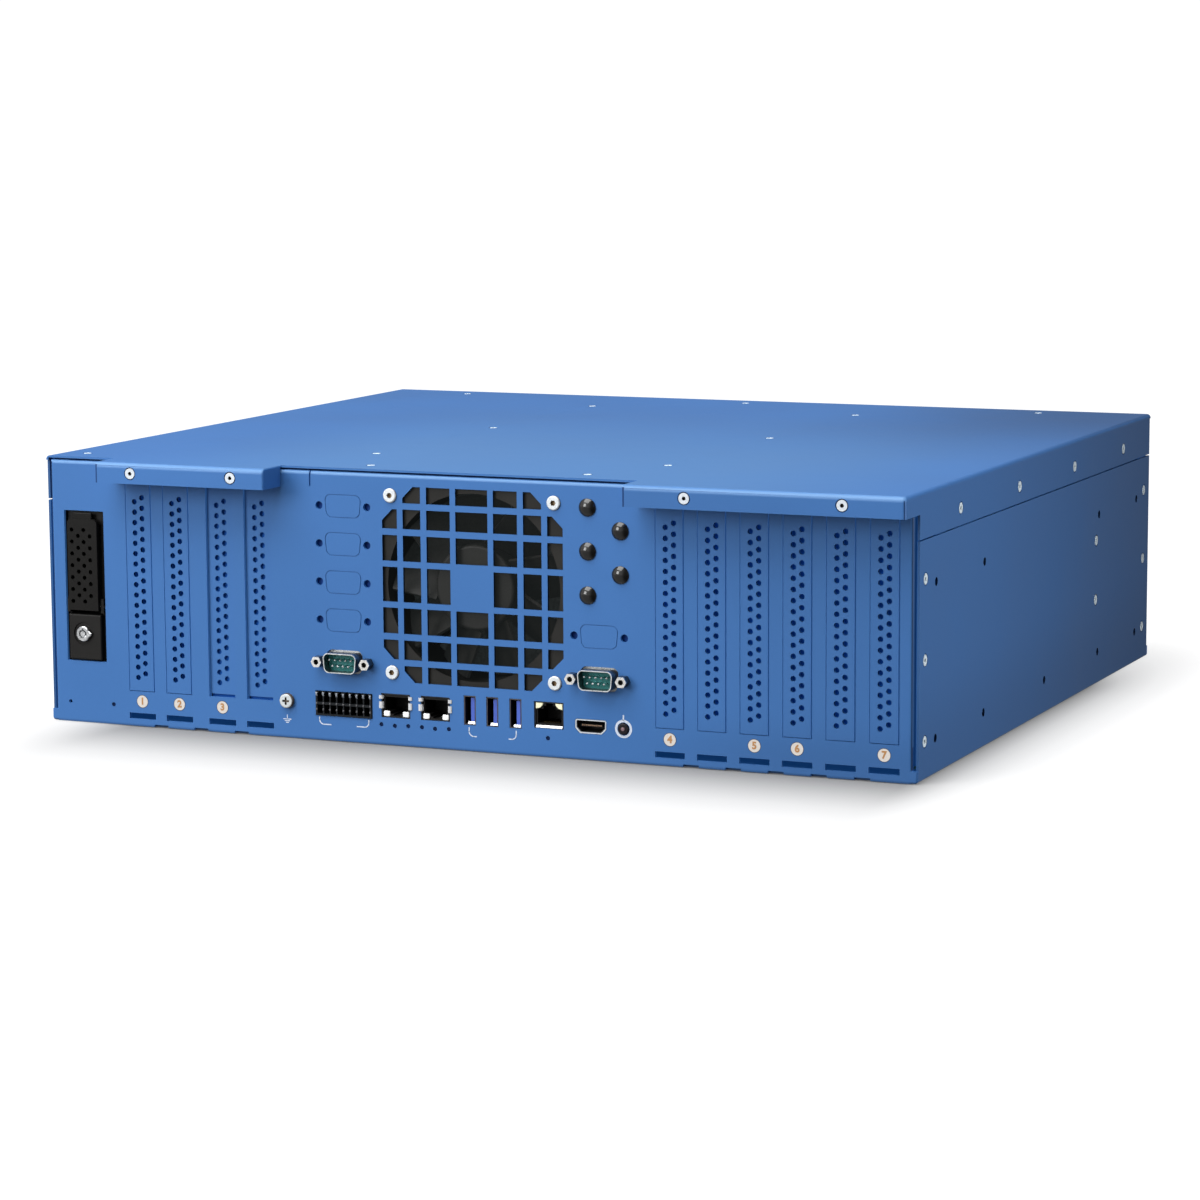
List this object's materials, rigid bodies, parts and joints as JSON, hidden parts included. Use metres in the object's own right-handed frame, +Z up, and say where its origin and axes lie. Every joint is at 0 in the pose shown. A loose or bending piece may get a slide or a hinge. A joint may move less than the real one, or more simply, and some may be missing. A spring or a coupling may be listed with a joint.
{
  "type": "rugged rack server",
  "caption": "Short-depth rack server in a folded blue steel case with front card slots under hoods, front ports, a fan grille and a lockable drive tray.",
  "frame": {"origin": "centre of the overall box at the underside", "axes": "+X to the right seen from the front, +Y from the front panel to the back, +Z up"},
  "size_m": [0.44, 0.3984, 0.1285],
  "materials": {
    "case_paint": "satin powder coat",
    "screw_steel": "bright zinc",
    "bright_steel": "plated",
    "black_plastic": "moulded",
    "gloss_black": "gloss",
    "green_plastic": "moulded",
    "blue_plastic": "moulded",
    "gold_contact": "plated",
    "board_green": "solder mask",
    "alu_fin": "extruded",
    "zinc_sheet": "galvanised",
    "gasket_foam": "foam",
    "clear_pipe": "smoked",
    "lead_jacket": "jacket"
  },
  "bodies": {
    "chassis": {"air_baffle_left": "zinc_sheet", "air_baffle_right": "zinc_sheet", "base_pan": "case_paint", "board_headers": "black_plastic", "board_leads": "lead_jacket", "board_standoffs": "gold_contact", "bus_shells": "bright_steel", "bus_tongues": "blue_plastic", "card_guides": "zinc_sheet", "card_sockets": "black_plastic", "connector_pins": "bright_steel", "cover_screws": "screw_steel", "drive_backplane": "board_green", "drive_cable": "lead_jacket", "drive_cage": "zinc_sheet", "dsub_inserts": "green_plastic", "dsub_jackscrews": "bright_steel", "dsub_shells": "bright_steel", "earth_screw": "screw_steel", "fan_screws": "screw_steel", "front_fan_frame": "black_plastic", "front_panel": "case_paint", "heat_sink": "alu_fin", "hole_plugs": "gloss_black", "hood_screws": "screw_steel", "inlet_blades": "bright_steel", "inner_screws": "screw_steel", "lid_gaskets": "gasket_foam", "light_pipes": "clear_pipe", "main_board": "board_green", "memory_modules": "board_green", "memory_sockets": "black_plastic", "network_contacts": "gold_contact", "network_inserts": "black_plastic", "network_shields": "bright_steel", "panel_screws": "screw_steel", "power_harness": "lead_jacket", "power_inlet": "black_plastic", "power_supply": "zinc_sheet", "power_switch": "black_plastic", "processor": "bright_steel", "rear_fan_frames": "black_plastic", "rear_panel": "case_paint", "slot_brackets": "case_paint", "status_board": "board_green", "supply_screws": "screw_steel", "terminal_header": "black_plastic", "top_cover": "case_paint", "video_shell": "bright_steel", "video_tongue": "black_plastic"},
    "drive_tray": {"drive_tray": "black_plastic", "lever_pin": "bright_steel", "solid_state_drive": "alu_fin"},
    "tray_lever": {"tray_lever": "black_plastic"},
    "lock_cylinder": {"lock_cylinder": "bright_steel"},
    "power_button": {"power_button": "gloss_black"},
    "reset_plunger": {"reset_plunger": "black_plastic"},
    "front_fan_rotor": {"front_fan_rotor": "black_plastic"},
    "rear_fan_rotor_left": {"rear_fan_rotor_left": "black_plastic"},
    "rear_fan_rotor_right": {"rear_fan_rotor_right": "black_plastic"}
  },
  "joints": [
    {"name": "tray_slide", "type": "slide", "parent": "chassis", "child": "drive_tray", "axis": [0, -1, 0], "range_m": [0, 0.105]},
    {"name": "lever_swing", "type": "hinge", "parent": "drive_tray", "child": "tray_lever", "pos_m": [-0.2003, -0.17995, 0.0566], "axis": [1, 0, 0], "range_deg": [0, 75]},
    {"name": "lock_turn", "type": "hinge", "parent": "drive_tray", "child": "lock_cylinder", "pos_m": [-0.2008, -0.18175, 0.0432], "axis": [0, 1, 0], "range_deg": [0, 90]},
    {"name": "power_press", "type": "slide", "parent": "chassis", "child": "power_button", "axis": [0, 1, 0], "range_m": [0, 0.0012], "stiffness_N_per_m": 900},
    {"name": "reset_press", "type": "slide", "parent": "chassis", "child": "reset_plunger", "axis": [0, 1, 0], "range_m": [0, 0.0006], "stiffness_N_per_m": 900},
    {"name": "front_fan_spin", "type": "hinge", "parent": "chassis", "child": "front_fan_rotor", "pos_m": [0.0054, -0.16975, 0.0755], "axis": [0, 1, 0], "continuous": true},
    {"name": "rear_left_fan_spin", "type": "hinge", "parent": "chassis", "child": "rear_fan_rotor_left", "pos_m": [-0.145, 0.18425, 0.06], "axis": [0, 1, 0], "continuous": true},
    {"name": "rear_right_fan_spin", "type": "hinge", "parent": "chassis", "child": "rear_fan_rotor_right", "pos_m": [0.145, 0.18425, 0.06], "axis": [0, 1, 0], "continuous": true}
  ]
}
